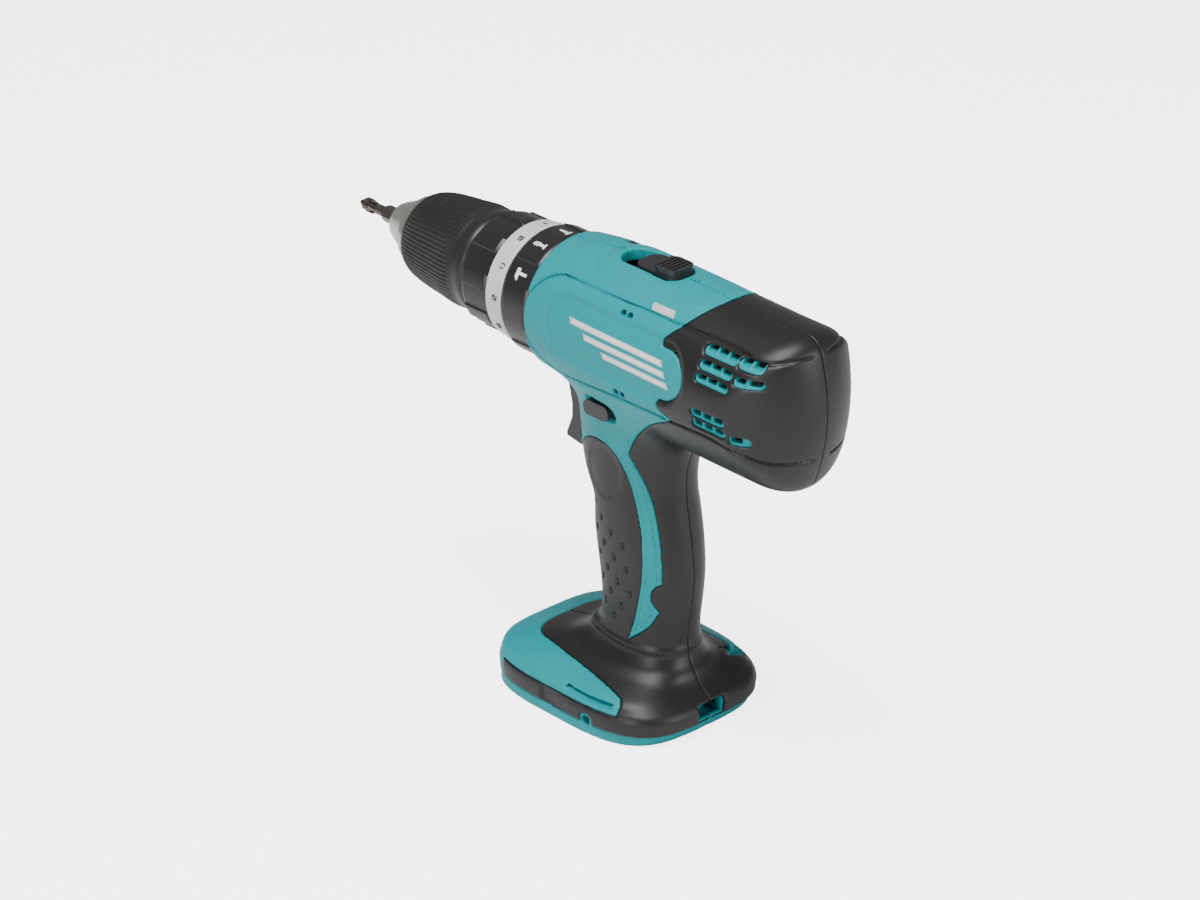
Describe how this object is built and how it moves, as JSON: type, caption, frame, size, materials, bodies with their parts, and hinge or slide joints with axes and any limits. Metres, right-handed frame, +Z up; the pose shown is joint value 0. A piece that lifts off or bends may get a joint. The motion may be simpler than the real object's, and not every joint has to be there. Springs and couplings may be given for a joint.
{
  "type": "cordless drill",
  "caption": "Pistol-grip cordless hammer drill driver without its battery: keyless chuck with a driver bit, clutch and mode rings, trigger grip and a flared battery foot.",
  "frame": {"origin": "centre of the underside of the foot, between the battery rails", "axes": "+X forward along the spindle towards the chuck, +Y to the user's left, +Z up"},
  "size_m": [0.2703, 0.0791, 0.1965],
  "materials": {
    "black_grip": "soft matte",
    "black_plastic": "satin",
    "bright_steel": "turned and polished",
    "carbon": "pressed carbon",
    "cast_aluminium": "die cast",
    "clear_lens": "clear",
    "copper": "copper",
    "dark_steel": "phosphated",
    "magnet": "sintered ferrite",
    "pale_plastic": "satin silver-white",
    "sintered_steel": "sintered",
    "spring_steel": "drawn wire",
    "teal_plastic": "fine satin texture",
    "white_nylon": "natural",
    "wire_sheath": "soft sheath",
    "zinc_steel": "zinc plated"
  },
  "bodies": {
    "root": {"housing_left": "teal_plastic", "housing_right": "teal_plastic", "grip_skin_left": "black_grip", "grip_skin_right": "black_grip", "housing_screws": "zinc_steel", "hook_inserts": "zinc_steel", "gear_case": "cast_aluminium", "motor_plate": "zinc_steel", "spindle_bearings": "bright_steel", "ring_gear_1": "sintered_steel", "ring_gear_2": "sintered_steel", "ring_spacer": "white_nylon", "hammer_cam_fixed": "sintered_steel", "clutch_plate": "zinc_steel", "clutch_pins": "bright_steel", "clutch_spring": "spring_steel", "motor_can": "zinc_steel", "motor_screws": "zinc_steel", "motor_magnets": "magnet", "motor_end_bell": "black_plastic", "motor_bearings": "bright_steel", "carbon_brushes": "carbon", "switch_body": "black_plastic", "trigger_spring": "spring_steel", "lamp_lens": "clear_lens", "terminal_block": "black_plastic", "battery_terminals": "copper", "wires": "wire_sheath"},
    "spindle": {"spindle": "bright_steel", "carrier_2": "sintered_steel", "hammer_cam": "sintered_steel", "chuck_body": "bright_steel", "chuck_screw": "dark_steel"},
    "sleeve": {"chuck_sleeve": "black_plastic", "chuck_nut": "dark_steel"},
    "bit": {"driver_bit": "dark_steel"},
    "rotor": {"motor_shaft": "bright_steel", "motor_armature": "dark_steel", "motor_commutator": "copper", "motor_fan": "white_nylon", "motor_pinion": "sintered_steel"},
    "carrier_1": {"carrier_1": "sintered_steel", "sun_gear_2": "sintered_steel"},
    "mode_ring": {"mode_ring": "black_plastic"},
    "torque_ring": {"torque_ring": "black_plastic", "scale_band": "pale_plastic"},
    "clutch_nut": {"clutch_nut": "white_nylon"},
    "trigger": {"trigger": "black_plastic"},
    "direction_lever": {"direction_lever": "black_plastic"},
    "speed_selector": {"speed_selector": "black_plastic", "shift_fork": "spring_steel"},
    "planet_1_1": {"planet_1_1": "sintered_steel"},
    "planet_2_1": {"planet_2_1": "sintered_steel"},
    "chuck_jaw_1": {"chuck_jaw_1": "dark_steel"},
    "planet_1_2": {"planet_1_2": "sintered_steel"},
    "planet_2_2": {"planet_2_2": "sintered_steel"},
    "chuck_jaw_2": {"chuck_jaw_2": "dark_steel"},
    "planet_1_3": {"planet_1_3": "sintered_steel"},
    "planet_2_3": {"planet_2_3": "sintered_steel"},
    "chuck_jaw_3": {"chuck_jaw_3": "dark_steel"}
  },
  "joints": [
    {"name": "spindle_spin", "type": "hinge", "parent": "root", "child": "spindle", "pos_m": [0, 0, 0.1625], "axis": [1, 0, 0], "continuous": true},
    {"name": "rotor_spin", "type": "hinge", "parent": "root", "child": "rotor", "pos_m": [0, 0, 0.1625], "axis": [1, 0, 0], "continuous": true},
    {"name": "carrier_1_spin", "type": "hinge", "parent": "root", "child": "carrier_1", "pos_m": [0, 0, 0.1625], "axis": [1, 0, 0], "continuous": true},
    {"name": "chuck_sleeve_turn", "type": "hinge", "parent": "spindle", "child": "sleeve", "pos_m": [0, 0, 0.1625], "axis": [1, 0, 0], "range_deg": [0, 2160]},
    {"name": "bit_pull", "type": "slide", "parent": "spindle", "child": "bit", "axis": [1, 0, 0], "range_m": [0, 0.04]},
    {"name": "mode_ring_turn", "type": "hinge", "parent": "root", "child": "mode_ring", "pos_m": [0, 0, 0.1625], "axis": [1, 0, 0], "range_deg": [0, 60]},
    {"name": "torque_ring_turn", "type": "hinge", "parent": "root", "child": "torque_ring", "pos_m": [0, 0, 0.1625], "axis": [1, 0, 0], "range_deg": [0, 300]},
    {"name": "clutch_nut_slide", "type": "slide", "parent": "root", "child": "clutch_nut", "axis": [-1, 0, 0], "range_m": [0, 0.005], "deforming": ["clutch_spring"]},
    {"name": "trigger_pull", "type": "slide", "parent": "root", "child": "trigger", "axis": [-1, 0, 0], "range_m": [0, 0.0075], "stiffness_N_per_m": 500, "springref_m": -0.006, "deforming": ["trigger_spring"]},
    {"name": "direction_lever_slide", "type": "slide", "parent": "root", "child": "direction_lever", "axis": [0, 1, 0], "range_m": [-0.006, 0]},
    {"name": "speed_selector_slide", "type": "slide", "parent": "root", "child": "speed_selector", "axis": [1, 0, 0], "range_m": [0, 0.009]},
    {"name": "planet_1_1_spin", "type": "hinge", "parent": "carrier_1", "child": "planet_1_1", "pos_m": [0, 0, 0.1745], "axis": [1, 0, 0], "continuous": true},
    {"name": "planet_2_1_spin", "type": "hinge", "parent": "spindle", "child": "planet_2_1", "pos_m": [0, 0, 0.1757], "axis": [1, 0, 0], "continuous": true},
    {"name": "chuck_jaw_1_slide", "type": "slide", "parent": "spindle", "child": "chuck_jaw_1", "axis": [-0.9659, 0, 0.2588], "range_m": [0, 0.012]},
    {"name": "planet_1_2_spin", "type": "hinge", "parent": "carrier_1", "child": "planet_1_2", "pos_m": [0, -0.01039, 0.1565], "axis": [1, 0, 0], "continuous": true},
    {"name": "planet_2_2_spin", "type": "hinge", "parent": "spindle", "child": "planet_2_2", "pos_m": [0, -0.01143, 0.1559], "axis": [1, 0, 0], "continuous": true},
    {"name": "chuck_jaw_2_slide", "type": "slide", "parent": "spindle", "child": "chuck_jaw_2", "axis": [-0.9659, -0.2241, -0.1294], "range_m": [0, 0.012]},
    {"name": "planet_1_3_spin", "type": "hinge", "parent": "carrier_1", "child": "planet_1_3", "pos_m": [0, 0.01039, 0.1565], "axis": [1, 0, 0], "continuous": true},
    {"name": "planet_2_3_spin", "type": "hinge", "parent": "spindle", "child": "planet_2_3", "pos_m": [0, 0.01143, 0.1559], "axis": [1, 0, 0], "continuous": true},
    {"name": "chuck_jaw_3_slide", "type": "slide", "parent": "spindle", "child": "chuck_jaw_3", "axis": [-0.9659, 0.2241, -0.1294], "range_m": [0, 0.012]}
  ],
  "couplings": [
    {"joint": "rotor_spin", "follows": "spindle_spin", "ratio": 18.333},
    {"joint": "carrier_1_spin", "follows": "spindle_spin", "ratio": 3.6667},
    {"joint": "clutch_nut_slide", "follows": "torque_ring_turn", "m_per_rad": 0.00095493},
    {"joint": "planet_1_1_spin", "follows": "spindle_spin", "ratio": -9.7778},
    {"joint": "planet_2_1_spin", "follows": "spindle_spin", "ratio": -3.2},
    {"joint": "chuck_jaw_1_slide", "follows": "chuck_sleeve_turn", "m_per_rad": 0.00031831},
    {"joint": "planet_1_2_spin", "follows": "spindle_spin", "ratio": -9.7778},
    {"joint": "planet_2_2_spin", "follows": "spindle_spin", "ratio": -3.2},
    {"joint": "chuck_jaw_2_slide", "follows": "chuck_sleeve_turn", "m_per_rad": 0.00031831},
    {"joint": "planet_1_3_spin", "follows": "spindle_spin", "ratio": -9.7778},
    {"joint": "planet_2_3_spin", "follows": "spindle_spin", "ratio": -3.2},
    {"joint": "chuck_jaw_3_slide", "follows": "chuck_sleeve_turn", "m_per_rad": 0.00031831}
  ]
}
